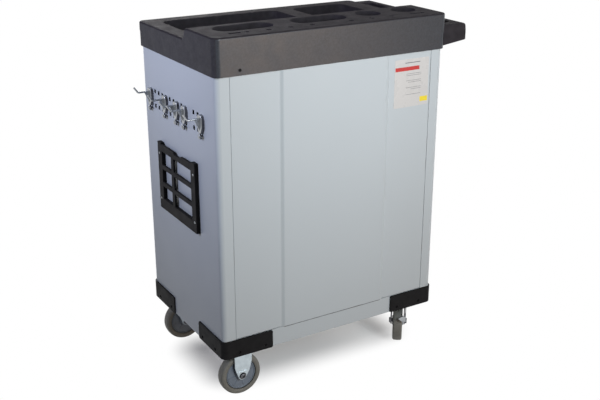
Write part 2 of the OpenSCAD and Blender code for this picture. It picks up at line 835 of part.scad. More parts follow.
end_panel_right();
end_panel_left();
back_panel();
base_frame();
top_deck();
uprights();
slide_rails();
top_tray();
push_handle();
corner_bumper(1, 1);  // bumper_back_right
corner_bumper(-1, 1);  // bumper_back_left
corner_bumper(1, -1);  // bumper_front_right
corner_bumper(-1, -1);  // bumper_front_left
fixing_screws();
tool_hooks();
hook_knobs();
holder_frame();
blank_card();
lock_barrel();
lock_plug();
fixed_bracket(1);  // caster_1_bracket
caster_axle(1, true);  // caster_1_axle
caster_hub(1, true);  // caster_1_hub
caster_tyre(1, true);  // caster_1_tyre
fixed_bracket(-1);  // caster_2_bracket
caster_axle(-1, true);  // caster_2_axle
caster_hub(-1, true);  // caster_2_hub
caster_tyre(-1, true);  // caster_2_tyre
swivel_plate(1);  // caster_3_plate
fork(1);  // caster_3_fork
caster_axle(1, false);  // caster_3_axle
caster_hub(1, false);  // caster_3_hub
caster_tyre(1, false);  // caster_3_tyre
caster_brake(1);  // caster_3_brake
swivel_plate(-1);  // caster_4_plate
fork(-1);  // caster_4_fork
caster_axle(-1, false);  // caster_4_axle
caster_hub(-1, false);  // caster_4_hub
caster_tyre(-1, false);  // caster_4_tyre
caster_brake(-1);  // caster_4_brake
drawer(0);  // drawer_1
drawer_pull(0);  // drawer_1_pull
drawer_slides(0);  // drawer_1_slides
drawer(1);  // drawer_2
drawer_pull(1);  // drawer_2_pull
drawer_slides(1);  // drawer_2_slides
drawer(2);  // drawer_3
drawer_pull(2);  // drawer_3_pull
drawer_slides(2);  // drawer_3_slides
drawer(3);  // drawer_4
drawer_pull(3);  // drawer_4_pull
drawer_slides(3);  // drawer_4_slides
drawer(4);  // drawer_5
drawer_pull(4);  // drawer_5_pull
drawer_slides(4);  // drawer_5_slides
drawer(5);  // drawer_6
drawer_pull(5);  // drawer_6_pull
drawer_slides(5);  // drawer_6_slides
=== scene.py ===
import json
import math
import bmesh
import bpy
from mathutils import Matrix, Vector

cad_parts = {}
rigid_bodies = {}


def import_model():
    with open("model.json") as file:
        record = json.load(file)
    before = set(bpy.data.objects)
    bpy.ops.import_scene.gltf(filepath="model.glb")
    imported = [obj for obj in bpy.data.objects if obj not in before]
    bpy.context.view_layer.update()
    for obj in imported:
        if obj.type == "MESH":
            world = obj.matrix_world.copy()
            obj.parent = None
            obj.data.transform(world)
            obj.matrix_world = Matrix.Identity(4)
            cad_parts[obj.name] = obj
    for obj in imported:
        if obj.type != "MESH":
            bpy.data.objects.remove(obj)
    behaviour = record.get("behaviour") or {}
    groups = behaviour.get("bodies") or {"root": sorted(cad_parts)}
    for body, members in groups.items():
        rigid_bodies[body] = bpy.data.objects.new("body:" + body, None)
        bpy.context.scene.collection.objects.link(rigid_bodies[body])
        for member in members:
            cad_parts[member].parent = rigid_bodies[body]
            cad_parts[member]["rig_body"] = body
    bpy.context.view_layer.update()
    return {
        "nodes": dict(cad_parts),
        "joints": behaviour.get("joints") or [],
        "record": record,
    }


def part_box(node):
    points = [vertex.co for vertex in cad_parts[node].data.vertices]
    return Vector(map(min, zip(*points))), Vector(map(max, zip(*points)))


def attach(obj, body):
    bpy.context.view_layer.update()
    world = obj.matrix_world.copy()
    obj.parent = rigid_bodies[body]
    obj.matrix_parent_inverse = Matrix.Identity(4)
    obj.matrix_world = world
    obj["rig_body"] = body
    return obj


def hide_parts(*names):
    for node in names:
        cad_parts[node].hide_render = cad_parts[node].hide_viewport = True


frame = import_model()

# The looks of a closed rolling tool cart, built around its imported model.
# Metres. +Z is up, +Y is the plain back, +X is the end with the hooks, -X the push handle.

bpy.context.scene.view_settings.view_transform = "Standard"

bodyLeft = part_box("end_panel_left")[0].x
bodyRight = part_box("end_panel_right")[1].x
bodyMid = (bodyLeft + bodyRight) / 2
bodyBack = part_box("end_panel_right")[1].y
tiny = 0.0001        # two places nearer than this are the same
clear = 0.01         # how far a cutter reaches past a face
jointPlaces = {joint["name"]: joint for joint in frame["joints"]}


def deselectAll():
    if bpy.context.object is not None and bpy.context.object.mode != "OBJECT":
        bpy.ops.object.mode_set(mode="OBJECT")
    bpy.ops.object.select_all(action="DESELECT")


def makeActive(piece):
    deselectAll()
    piece.select_set(True)
    bpy.context.view_layer.objects.active = piece


def settle(name):
    piece = bpy.context.object
    piece.name = name
    piece.data.name = name
    bpy.ops.object.transform_apply(location=True, rotation=True, scale=True)
    return piece


def openMesh(piece, kind="VERT", picked="SELECT"):
    makeActive(piece)
    bpy.ops.object.mode_set(mode="EDIT")
    bpy.ops.mesh.select_mode(type=kind)
    bpy.ops.mesh.select_all(action=picked)


def closeMesh():
    bpy.ops.object.mode_set(mode="OBJECT")


def addBlock(name, low, high):
    low, high = Vector(low), Vector(high)
    deselectAll()
    bpy.ops.mesh.primitive_cube_add(size=1, location=(low + high) / 2, scale=high - low)
    return settle(name)


def addRod(name, start, end, radius, sides):
    start, end = Vector(start), Vector(end)
    turn = (end - start).to_track_quat("Z", "Y").to_euler()
    deselectAll()
    bpy.ops.mesh.primitive_cylinder_add(vertices=sides, radius=radius, depth=(end - start).length,
                                        location=(start + end) / 2, rotation=turn)
    return settle(name)


def traceOutline(name, points, fill=True, loop=False):
    points = [Vector(point) for point in points]
    deselectAll()
    bpy.ops.mesh.primitive_plane_add(size=0.001, location=points[0])
    openMesh(bpy.context.object)
    bpy.ops.mesh.merge(type="CENTER")
    for here, there in zip(points, points[1:]):
        bpy.ops.mesh.extrude_vertices_move(TRANSFORM_OT_translate={"value": there - here})
    if fill or loop:
        bpy.ops.mesh.select_all(action="SELECT")
        bpy.ops.mesh.edge_face_add()
    if loop:
        bpy.ops.mesh.delete(type="ONLY_FACE")
    closeMesh()
    return settle(name)


def arcPoints(across, up, radius, start, end, steps):
    angles = [math.radians(start + (end - start) * step / steps) for step in range(steps + 1)]
    return [(across + radius * math.cos(angle), up + radius * math.sin(angle)) for angle in angles]


def extrudeAll(piece, step):
    openMesh(piece)
    bpy.ops.mesh.extrude_region_move(TRANSFORM_OT_translate={"value": Vector(step)})
    bpy.ops.mesh.select_all(action="SELECT")
    bpy.ops.mesh.normals_make_consistent(inside=False)
    closeMesh()


def spinAll(piece, centre, axis, steps):
    openMesh(piece)
    bpy.ops.mesh.spin(steps=steps, angle=2 * math.pi, center=centre, axis=axis)
    bpy.ops.mesh.select_all(action="SELECT")
    bpy.ops.mesh.remove_doubles(threshold=tiny / 10)
    bpy.ops.mesh.normals_make_consistent(inside=False)
    closeMesh()
    return piece


def choose(piece, kind, wanted):
    openMesh(piece, kind, "DESELECT")
    mesh = bmesh.from_edit_mesh(piece.data)
    parts = {"VERT": mesh.verts, "EDGE": mesh.edges, "FACE": mesh.faces}[kind]
    found = [part for part in parts if wanted(part)]
    for part in found:
        part.select_set(True)
    bmesh.update_edit_mesh(piece.data)
    return len(found)


# Bevels the wanted edges; a second test may say where their middles have to be
def roundEdges(piece, wanted, width, steps, where=None):
    if choose(piece, "EDGE", lambda edge: wanted(edge) and (where is None or where(edgeMiddle(edge)))):
        bpy.ops.mesh.bevel(offset=width, segments=steps, affect="EDGES", clamp_overlap=True)
    closeMesh()
    return piece


def moveCorners(piece, wanted, step):
    choose(piece, "VERT", lambda corner: wanted(corner.co))
    bpy.ops.transform.translate(value=Vector(step))
    closeMesh()


def scaleCorners(piece, wanted, factors, centre):
    choose(piece, "VERT", lambda corner: wanted(corner.co))
    bpy.ops.transform.resize(value=factors, center_override=centre)
    closeMesh()


def bisectPiece(piece, point, normal):
    openMesh(piece)
    bpy.ops.mesh.bisect(plane_co=point, plane_no=normal)
    closeMesh()


def applyModifier(piece, kind, **settings):
    makeActive(piece)
    modifier = piece.modifiers.new(kind, kind)
    for key, value in settings.items():
        setattr(modifier, key, value)
    bpy.ops.object.modifier_apply(modifier=modifier.name)


def cutAway(piece, cutter):
    applyModifier(piece, "BOOLEAN", operation="DIFFERENCE", solver="EXACT", object=cutter)
    bpy.data.objects.remove(cutter)


def joinPieces(name, pieces):
    makeActive(pieces[0])
    for piece in pieces[1:]:
        piece.select_set(True)
    bpy.ops.object.join()
    pieces[0].name = name
    pieces[0].data.name = name
    return pieces[0]


def copyPiece(piece, name, place=None):
    made = bpy.data.objects.new(name, piece.data.copy())
    made.data.name = name
    bpy.context.scene.collection.objects.link(made)
    if place is not None:
        made.data.transform(place)
        if place.determinant() < 0:
            made.data.flip_normals()
    return made


def isUpright(edge):
    step = edge.verts[1].co - edge.verts[0].co
    return abs(step.z) > 0.9 * step.length


def isFolded(edge, degrees=40):
    return len(edge.link_faces) == 2 and edge.calc_face_angle() > math.radians(degrees)


def isSharp(edge):
    return isFolded(edge, 60)


# An edge between a face that looks up and one that stands
def isRim(edge, up, standing):
    return (any(face.normal.z > up for face in edge.link_faces) and
            any(abs(face.normal.z) < standing for face in edge.link_faces))


def edgeMiddle(edge):
    return (edge.verts[0].co + edge.verts[1].co) / 2


def dressPiece(piece, body, material, slotName, *nodes):
    makeActive(piece)
    bpy.ops.object.shade_smooth_by_angle(angle=math.radians(35))
    applyModifier(piece, "WEIGHTED_NORMAL", keep_sharp=True, weight=80)
    piece.data.materials.clear()
    piece.data.materials.append(material)
    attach(piece, body)
    if nodes:
        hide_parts(*nodes)
    return piece


def softenedCopy(node, name, width, material, slotName, steps=2):
    piece = copyPiece(frame["nodes"][node], name)
    openMesh(piece)
    bpy.ops.mesh.remove_doubles(threshold=tiny / 10)
    bpy.ops.mesh.dissolve_limited(angle_limit=math.radians(1))
    closeMesh()
    applyModifier(piece, "BEVEL", width=width, segments=steps, limit_method="ANGLE",
                  angle_limit=math.radians(50), use_clamp_overlap=True)
    dressPiece(piece, frame["nodes"][node]["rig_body"], material, slotName, node)


noiseRange = 0.3, 0.7        # nearly all of a noise lies between these


# The owner is a material or the world
def addNode(owner, kind, **sockets):
    node = owner.node_tree.nodes.new(kind)
    for key, value in sockets.items():
        node.inputs[key].default_value = value
    return node


def connect(owner, source, target):
    owner.node_tree.links.new(source, target)


def objectNoise(material, scale, detail, stretch=(1, 1, 1)):
    place = addNode(material, "ShaderNodeTexCoord")
    mapping = addNode(material, "ShaderNodeMapping", Scale=stretch)
    noise = addNode(material, "ShaderNodeTexNoise", Scale=scale, Detail=detail)
    connect(material, place.outputs["Object"], mapping.inputs["Vector"])
    connect(material, mapping.outputs["Vector"], noise.inputs["Vector"])
    return noise.outputs["Fac"]


def mixColours(material, factor, *colours):
    ramp = addNode(material, "ShaderNodeValToRGB")
    for element, place, colour in zip(ramp.color_ramp.elements, noiseRange, colours):
        element.position = place
        element.color = (*colour, 1)
    connect(material, factor, ramp.inputs["Fac"])
    return ramp.outputs["Color"]


def mapRange(material, source, span, results):
    node = addNode(material, "ShaderNodeMapRange", **{"From Min": span[0], "From Max": span[1],
                                                      "To Min": results[0], "To Max": results[1]})
    connect(material, source, node.inputs["Value"])
    return node


def mixShaders(owner, *sources):
    mix = addNode(owner, "ShaderNodeMixShader")
    for source, socket in zip(sources, mix.inputs):
        connect(owner, source, socket)
    return mix.outputs[0]


def newFinish(name, look):
    material = bpy.data.materials.new(name)
    material.use_nodes = True
    shader = material.node_tree.nodes["Principled BSDF"]
    shader.inputs["Metallic"].default_value = look.get("metallic", 0)
    shader.inputs["Specular IOR Level"].default_value = look.get("specular", 0.5)
    stretch = look.get("stretch", (1, 1, 1))
    blotch = objectNoise(material, look["blotchScale"], 4, stretch)
    dark = Vector(look["colour"]) * (1 - look["spread"])
    light = Vector(look["colour"]) * (1 + look["spread"])
    connect(material, mixColours(material, blotch, dark, light), shader.inputs["Base Color"])
    wear = objectNoise(material, look["wearScale"], 3)
    roughness = mapRange(material, wear, noiseRange, look["roughness"])
    connect(material, roughness.outputs["Result"], shader.inputs["Roughness"])
    bump = addNode(material, "ShaderNodeBump", Strength=look["bumpStrength"],
                   Distance=look.get("bumpDepth", 0.0002))
    connect(material, objectNoise(material, look["grainScale"], 2, stretch), bump.inputs["Height"])
    connect(material, bump.outputs["Normal"], shader.inputs["Normal"])
    return material


plastic = {"wearScale": 30, "grainScale": 1500, "bumpStrength": 0.35, "bumpDepth": 0.0003}
zinc = {"blotchScale": 60, "wearScale": 90, "grainScale": 500, "bumpStrength": 0.15, "metallic": 0.9}
ink = {"spread": 0.03, "blotchScale": 200, "wearScale": 30, "roughness": (0.28, 0.36), "grainScale": 900,
       "bumpStrength": 0.04, "bumpDepth": 0.0001}
finishLooks = {
    "paintedSteel": {"colour": (0.50, 0.53, 0.545), "spread": 0.012, "blotchScale": 3, "wearScale": 9,
                     "roughness": (0.38, 0.46), "grainScale": 650, "bumpStrength": 0.12, "specular": 0.25},
    "mouldedCharcoal": {**plastic, "colour": (0.034, 0.030, 0.033), "spread": 0.16, "blotchScale": 55,
                        "roughness": (0.62, 0.76), "specular": 0.02},
    # painted shade: darker, bluer copy of the tray plastic for its long sides, glossier too
    "sheenAndPaintedShadeSides": {**plastic, "colour": (0.018, 0.021, 0.028), "spread": 0.3, "blotchScale": 260,
                     "roughness": (0.28, 0.36), "bumpStrength": 0.3, "specular": 0.4},
    # painted light: lighter, bluer copy of the tray plastic for its ends, standing in for the cool light on
    # them
    "satinAndPaintedCoolLightEnds": {**plastic, "colour": (0.036, 0.034, 0.038), "spread": 0.2, "blotchScale": 120,
                     "roughness": (0.50, 0.60), "specular": 0.10},
    "bumperBlack": {**plastic, "colour": (0.0140, 0.0135, 0.0140), "spread": 0.15, "blotchScale": 70,
                    "wearScale": 40, "roughness": (0.50, 0.64), "grainScale": 1300, "bumpStrength": 0.3,
                    "specular": 0.05},
    "zincPlate": {**zinc, "colour": (0.45, 0.51, 0.545), "spread": 0.10, "roughness": (0.26, 0.42)},
    "wireZinc": {**zinc, "colour": (0.34, 0.355, 0.37), "spread": 0.12, "roughness": (0.24, 0.36)},
    # painted shade: a dark zinc standing in for shade on the axles, the swivel forks and the hook plates'
    # sides
    "paintedShadeZinc": {**zinc, "colour": (0.12, 0.12, 0.13), "spread": 0.10, "roughness": (0.26, 0.38)},
    "satinAlloy": {"colour": (0.62, 0.63, 0.64), "spread": 0.04, "blotchScale": 40, "wearScale": 60,
                   "roughness": (0.30, 0.38), "grainScale": 700, "bumpStrength": 0.1, "metallic": 1,
                   "stretch": (0.04, 1, 1)},       # brushed along X
    "wheelRubber": {"colour": (0.148, 0.142, 0.124), "spread": 0.10, "blotchScale": 70, "wearScale": 50,
                    "roughness": (0.50, 0.66), "grainScale": 900, "bumpStrength": 0.25, "bumpDepth": 0.0003},
    "hubPlastic": {"colour": (0.150, 0.178, 0.218), "spread": 0.09, "blotchScale": 90, "wearScale": 50,
                   "roughness": (0.36, 0.5), "grainScale": 1200, "bumpStrength": 0.2},
    "whiteFilm": {**ink, "colour": (0.57, 0.545, 0.525), "spread": 0.01, "blotchScale": 20,
                  "roughness": (0.24, 0.32)},
    "redInk": {**ink, "colour": (0.48, 0.014, 0.014)},
    "greyInk": {**ink, "colour": (0.12, 0.12, 0.13), "spread": 0.05},
    "yellowInk": {**ink, "colour": (0.80, 0.62, 0.03)},
}
finishes = {name: newFinish(name, look) for name, look in finishLooks.items()}
paintedSteel = finishes["paintedSteel"]
mouldedCharcoal = finishes["mouldedCharcoal"]
bumperBlack = finishes["bumperBlack"]
zincPlate = finishes["zincPlate"]
wireZinc = finishes["wireZinc"]
paintedShadeZinc = finishes["paintedShadeZinc"]
satinAlloy = finishes["satinAlloy"]
wheelRubber = finishes["wheelRubber"]
hubPlastic = finishes["hubPlastic"]
print("finishes made", len(finishes))


cameraLook = {"place": (1.1916, 2.0120, 1.2922), "aim": (-0.0124, -0.0018, 0.4037), "lens": 57.1}


def aimAt(thing, look):
    thing.location = look["place"]
    thing.rotation_euler = (Vector(look["aim"]) - Vector(look["place"])).to_track_quat("-Z", "Y").to_euler()


def placeCamera(look):
    camera = bpy.data.objects.new("camera", bpy.data.cameras.new("camera"))
    aimAt(camera, look)
    camera.data.lens = look["lens"]
    bpy.context.scene.collection.objects.link(camera)
    bpy.context.scene.camera = camera


placeCamera(cameraLook)


trayLook = {
    "lowDrop": 0.026,           # low part below the back strip
    "riseStart": 0.050, "riseRun": 0.022, "riseSteps": 10,
    "cornerRadius": 0.016, "edgeRadius": 0.0042,
    "rimRadius": 0.0032, "holeRim": 0.0008, "holesFrom": 0.165,
    "creaseHeight": 0.039, "creaseInset": 0.0006, "creaseRun": 0.003,      # break line in the apron
    "pockets": [((0.110, -0.063), (0.324, 0.218)), ((-0.178, -0.063), (0.160, 0.218))],
    "pocketFloor": 0.035, "pocketRadius": 0.022, "pocketBend": 0.008,
    "ovals": [(0.194, 0.120), (-0.004, 0.120)], "ovalSize": (0.147, 0.064), "ovalFloor": 0.043,
    "ovalBend": 0.007, "canBend": 0.005, "holeFloor": 0.005,
    "slots": [((0.245, 0.178), 0.030), ((-0.248, 0.178), 0.042)], "slotWidth": 0.010,
    "hollow": 0.014, "wall": 0.003,
}


def makeWell(name, middle, size, radius, bottom, top, floorRadius, draft=0.985):
    x, y = bodyMid + middle[0], middle[1]
    half = Vector((size[0] / 2, size[1] / 2))
    well = addBlock(name, (x - half.x, y - half.y, bottom), (x + half.x, y + half.y, top))
    roundEdges(well, isUpright, radius, 8)
    scaleCorners(well, lambda co: co.z < bottom + tiny, (draft, draft, 1), (x, y, bottom))
    if floorRadius:
        roundEdges(well, isFolded, floorRadius, 4, lambda spot: spot.z < bottom + tiny)
    return well


def makeTray(look):
    low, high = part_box("top_tray")
    lowTop = high.z - look["lowDrop"]
    middle = (low + high) / 2
    tray = addBlock("mouldedTray", low, high)
    shares = [step / look["riseSteps"] for step in range(look["riseSteps"] + 1)]
    for share in shares:
        bisectPiece(tray, (0, look["riseStart"] + look["riseRun"] * share, 0), (0, 1, 0))
    for share in shares[:-1]:
        y = look["riseStart"] + look["riseRun"] * share
        height = lowTop + look["lowDrop"] * (1 - math.cos(math.pi * share)) / 2
        moveCorners(tray, lambda co: co.z > high.z - tiny and
                    (co.y < y + tiny if share == 0 else abs(co.y - y) < tiny), (0, 0, height - high.z))
    crease = low.z + look["creaseHeight"]
    for z in (crease, crease - look["creaseRun"]):
        bisectPiece(tray, (0, 0, z), (0, 0, 1))
    inset = 2 * look["creaseInset"]
    scaleCorners(tray, lambda co: co.z < crease - 0.0005,
                 (1 - inset / (high.x - low.x), 1 - inset / (high.y - low.y), 1), (middle.x, middle.y, low.z))
    roundEdges(tray, lambda edge: isUpright(edge) and isFolded(edge), look["cornerRadius"], 10)
    nearTop = lowTop - 0.001
    roundEdges(tray, lambda edge: isRim(edge, 0.3, 0.1), look["edgeRadius"], 5, lambda spot: spot.z > nearTop)

    wells = []
    above = high.z + clear
    for number, (place, size) in enumerate(look["pockets"]):
        wells.append(makeWell(f"well{number}", place, size, look["pocketRadius"],
                              low.z + look["pocketFloor"], above, look["pocketBend"]))
    for number, place in enumerate(look["ovals"]):
        wells.append(makeWell(f"oval{number}", place, look["ovalSize"], look["ovalSize"][1] / 2 - tiny,
                              low.z + look["ovalFloor"], above, look["ovalBend"]))
    for number, (place, length) in enumerate(look["slots"]):
        width = look["slotWidth"]
        wells.append(makeWell(f"slot{number}", place, (length, width), width / 2 - tiny,
                              low.z + look["holeFloor"], above, 0, 1))
    for mount in frame["record"]["mounts"]:
        if mount["kind"] != "bore":
            continue
        name, (x, y) = mount["name"], mount["pos_m"][:2]
        radius = mount["dims"]["r_mm"] / 1000
        isCan = name.startswith("can")
        bottom = high.z - mount["dims"]["length_mm"] / 1000 if isCan else low.z + look["holeFloor"]
        well = addRod(name, (x, y, bottom), (x, y, above), radius, 48 if isCan else 20)
        if isCan:
            roundEdges(well, isFolded, look["canBend"], 3, lambda spot: spot.z < bottom + tiny)
        wells.append(well)
    cutAway(tray, joinPieces("wells", wells))
    for isSmall, width in ((False, look["rimRadius"]), (True, look["holeRim"])):
        roundEdges(tray, lambda edge: isRim(edge, 0.95, 0.35), width, 3,
                   lambda spot: spot.z > nearTop and (spot.y > look["holesFrom"]) == isSmall)
    wall = look["wall"]
    hollow = addBlock("hollow", (low.x + wall, low.y + wall, low.z - clear),
                      (high.x - wall, high.y - wall, low.z + look["hollow"]))
    roundEdges(hollow, isUpright, look["cornerRadius"] - wall, 6)
    cutAway(tray, hollow)
    dressPiece(tray, "cabinet", mouldedCharcoal, "moulded_charcoal", "top_tray")
    # the upright sides are smoother than the grained top, the long ones most of all; their colours are painted
    # light: the long sides get a darker, bluer base as painted shade, the ends a lighter, bluer base as
    # painted cool light
    tray.data.materials.append(finishes["sheenAndPaintedShadeSides"])
    tray.data.materials.append(finishes["satinAndPaintedCoolLightEnds"])
    for face in tray.data.polygons:
        middle = face.center
        edgeGap = min(middle.x - low.x, high.x - middle.x, middle.y - low.y, high.y - middle.y)
        if abs(face.normal.z) < 0.3 and edgeGap < look["cornerRadius"] * 0.4:
            face.material_index = 1 if abs(face.normal.y) > 0.8 else 2


makeTray(trayLook)
print("tray made")


handleLook = {"bar": 0.030, "gapRadius": 0.014, "tipRound": 0.008, "lean": 0.0065, "tipLow": 0.0086,
              "rise": (0.003, 0.008), "root": 0.0015, "tipCorner": 0.010, "sideRound": 0.009,
              "gapEdge": 0.003, "lowEdge": 0.0012, "wall": 0.004, "open": 0.02}


# Section of the handle along X and Z, drawn in by a wall's thickness for its hollow
def handleSection(look, low, high, trayEnd, inset):
    radius = look["tipRound"] - inset
    tip = low.x + inset
    top = high.z - look["rise"][0] - inset
    arc = arcPoints(tip + look["lean"] + radius, top - radius, radius, 90, 170, 6)
    if inset:
        return [(trayEnd - inset, low.z - look["open"]), (trayEnd - inset, top), *arc,
                (tip, low.z + look["tipLow"]), (tip, low.z - look["open"])]
    lip = low.z + look["tipLow"]
    return [(trayEnd + look["root"], low.z), (trayEnd + look["root"], high.z), (trayEnd, high.z),
            (trayEnd - look["rise"][1], top), *arc,
            (tip, lip + 0.006), (tip + 0.001, lip + 0.001), (tip + 0.005, lip)]


def makeHandle(look):
    low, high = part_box("push_handle")
    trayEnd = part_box("top_tray")[0].x
    bar, wall = look["bar"], look["wall"]
    section = handleSection(look, low, high, trayEnd, 0)
    handle = traceOutline("mouldedHandle", [(x, low.y - clear, z) for x, z in section])
    extrudeAll(handle, (0, high.y - low.y + 2 * clear, 0))
    plan = addBlock("plan", (low.x, low.y, low.z - clear), (trayEnd + 2 * clear, high.y, high.z))
    roundEdges(plan, isUpright, look["tipCorner"], 8, lambda spot: spot.x < low.x + 0.001)
    roundEdges(plan, isSharp, look["sideRound"], 5, lambda spot: spot.z > high.z - 0.001 and spot.x < trayEnd)
    applyModifier(handle, "BOOLEAN", operation="INTERSECT", solver="EXACT", object=plan)
    bpy.data.objects.remove(plan)
    opening = addBlock("opening", (low.x + bar, low.y + bar, low.z - 3 * clear),
                       (trayEnd, high.y - bar, high.z + 3 * clear))
    roundEdges(opening, isUpright, look["gapRadius"], 8, lambda spot: spot.x < trayEnd - clear)
    cutAway(handle, opening)
    for isTop, width in ((True, look["gapEdge"]), (False, look["lowEdge"])):
        roundEdges(handle, lambda edge: isFolded(edge, 50) and not isUpright(edge), width, 4, lambda spot:
                   low.x + bar - 0.001 < spot.x < trayEnd - 0.0005 and abs(spot.y) < high.y - bar + 0.001 and
                   (spot.z > low.z + 0.03) == isTop)
    section = handleSection(look, low, high, trayEnd, wall)
    hollow = traceOutline("hollow", [(x, low.y + wall, z) for x, z in section])
    extrudeAll(hollow, (0, high.y - low.y - 2 * wall, 0))
    kept = addBlock("kept", (low.x + bar - wall, low.y + bar - wall, low.z - 4 * clear),
                    (trayEnd + 5 * clear, high.y - bar + wall, high.z + 2 * clear))
    roundEdges(kept, isUpright, look["gapRadius"] + wall, 8)
    cutAway(hollow, kept)
    cutAway(handle, hollow)
    dressPiece(handle, "cabinet", mouldedCharcoal, "moulded_charcoal", "push_handle")


makeHandle(handleLook)
print("handle made")


backLook = {"seam": 0.275, "ribAt": 0.146, "ribRun": 0.007, "ribStep": 0.004, "thickness": 0.0012,
            "flange": 0.010, "bend": 0.0015, "ribBend": 0.0022, "lowGap": 0.0009,
            "gapShadeRecess": 0.0003, "gapShadeDepth": 0.0020}


def makeBackSheet(look):
    low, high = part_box("back_panel")
    outer = high.y - look["ribStep"]
    side = look["seam"]
    near, far = look["ribAt"] - look["ribRun"] / 2, look["ribAt"] + look["ribRun"] / 2
    half = [(side, -look["flange"]), (side, 0), (far, 0), (near, look["ribStep"])]
    profile = [(-x, y) for x, y in half] + [(x, y) for x, y in reversed(half)]
    foot = low.z + look["lowGap"]
    sheet = traceOutline("backSheet", [(bodyMid + x, outer + y, foot) for x, y in profile], fill=False)
    extrudeAll(sheet, (0, 0, high.z - foot))
    roundEdges(sheet, lambda edge: isUpright(edge) and isSharp(edge), look["bend"], 3)
    roundEdges(sheet, lambda edge: isUpright(edge) and isFolded(edge, 20), look["ribBend"], 3,
               lambda spot: abs(spot.x - bodyMid) < look["ribAt"] + look["ribRun"])
    facing = max(sheet.data.polygons, key=lambda face: face.area)
    if facing.normal.y < 0:
        sheet.data.flip_normals()
    applyModifier(sheet, "SOLIDIFY", thickness=look["thickness"], offset=-1, use_even_offset=True)
    dressPiece(sheet, "cabinet", paintedSteel, "painted_steel", "back_panel")
    # painted shade: a black strip stands in for the shadow in the gap under the middle field
    face = high.y - look["gapShadeRecess"]
    seam = addBlock("backGapPaintedShade", (bodyMid - near, face - look["gapShadeDepth"], low.z - 0.0004),
                    (bodyMid + near, face, foot + 0.0003))
    dressPiece(seam, "cabinet", bumperBlack, "bumper_black")


makeBackSheet(backLook)
for node, name in (("end_panel_right", "hookEndPanel"), ("end_panel_left", "handleEndPanel"),
                   ("base_frame", "baseSkirt"), ("top_deck", "deckSheet")):
    softenedCopy(node, name, 0.0003, paintedSteel, "painted_steel")
print("steel body made")


bumperLook = {"leg": 0.136, "wall": 0.0035, "outerRadius": 0.0155, "innerRadius": 0.012, "endRadius": 0.004,
              "edge": 0.0008, "grooveDrop": 0.0042, "grooveHeight": 0.0010, "grooveDepth": 0.0005,
              "screwAt": (0.044, 0.115), "screwRise": 0.0115, "holeRadius": 0.004}
cornerSigns = {"bumper_back_right": (1, 1), "bumper_back_left": (-1, 1),
               "bumper_front_right": (1, -1), "bumper_front_left": (-1, -1)}


def makeBumper(look):
    low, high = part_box("bumper_back_right")
    inner = high - Vector((look["wall"], look["wall"], 0))

    def roundCorner(piece, at, radius):
        roundEdges(piece, isUpright, radius, 12, lambda spot: (spot - at).xy.length < 0.001)

    bumper = addBlock("bumper", (high.x - look["leg"], high.y - look["leg"], low.z), high)
    roundCorner(bumper, high, look["outerRadius"])
    inside = addBlock("inside", low - Vector((clear, clear, clear)), (inner.x, inner.y, high.z + clear))
    roundCorner(inside, inner, look["innerRadius"])
    cutAway(bumper, inside)
    roundEdges(bumper, lambda edge: isFolded(edge, 80) and not isUpright(edge) and
               abs((edge.verts[0].co - edge.verts[1].co).length - look["wall"]) < 0.0002,
               look["endRadius"], 4)
    groove = addBlock("groove", (low.x - clear, low.y - clear, high.z - look["grooveDrop"]),
                      (high.x + clear, high.y + clear, high.z - look["grooveDrop"] + look["grooveHeight"]))
    grooveCore = addBlock("grooveCore", (low.x - 2 * clear, low.y - 2 * clear, low.z),
                          (high.x - look["grooveDepth"], high.y - look["grooveDepth"], high.z + clear))
    roundCorner(grooveCore, high, look["outerRadius"] - look["grooveDepth"])
    cutAway(groove, grooveCore)
    cutAway(bumper, groove)
    height = low.z + look["screwRise"]
    holes = []
    for along in look["screwAt"]:
        x, y = high.x - along, high.y - along
        for start, end in (((x, inner.y - clear, height), (x, high.y + clear, height)),
                           ((inner.x - clear, y, height), (high.x + clear, y, height))):
            holes.append(addRod("hole", start, end, look["holeRadius"], 24))
    cutAway(bumper, joinPieces("holes", holes))
    applyModifier(bumper, "BEVEL", width=look["edge"], segments=2, limit_method="ANGLE",
                  angle_limit=math.radians(50), use_clamp_overlap=True)
    return bumper


def mirrorPlace(signs):
    shift = Matrix.Translation((bodyMid, 0, 0))
    return shift @ Matrix.Diagonal((signs[0], signs[1], 1, 1)) @ shift.inverted()


firstBumper = makeBumper(bumperLook)
for node, signs in cornerSigns.items():
    piece = copyPiece(firstBumper, node.replace("bumper", "cornerGuard"), mirrorPlace(signs))
    dressPiece(piece, "cabinet", bumperBlack, "bumper_black", node)
bpy.data.objects.remove(firstBumper)
print("bumpers made")


screwLook = {"radius": 0.0036, "holderRadius": 0.0027, "height": 0.0015, "edge": 0.0007,
             "crossLength": 0.0040, "crossWidth": 0.0008, "crossDepth": 0.0008,
             "holderSides": (-0.103, 0.094), "holderHeights": (0.564, 0.445),
             "apronAt": ((0.252, 1), (0.252, -1), (-0.252, -1)), "apronRise": 0.012}


# A pan head with a cross recess; it stands on z = 0 and its top looks along +z
def makeScrew(look, radius):
    head = addRod("screw", (0, 0, 0), (0, 0, look["height"]), radius, 24)
    roundEdges(head, isFolded, look["edge"], 3, lambda spot: spot.z > look["height"] - tiny)
    for size in ((look["crossLength"], look["crossWidth"]), (look["crossWidth"], look["crossLength"])):
        cutAway(head, addBlock("recess", (-size[0] / 2, -size[1] / 2, look["height"] - look["crossDepth"]),
                               (size[0] / 2, size[1] / 2, look["height"] + 0.001)))
    return head


def placeAlong(origin, direction, turn=0.0):
    rotation = Vector(direction).to_track_quat("Z", "Y").to_matrix().to_4x4()
    return Matrix.Translation(origin) @ rotation @ Matrix.Rotation(turn, 4, "Z")


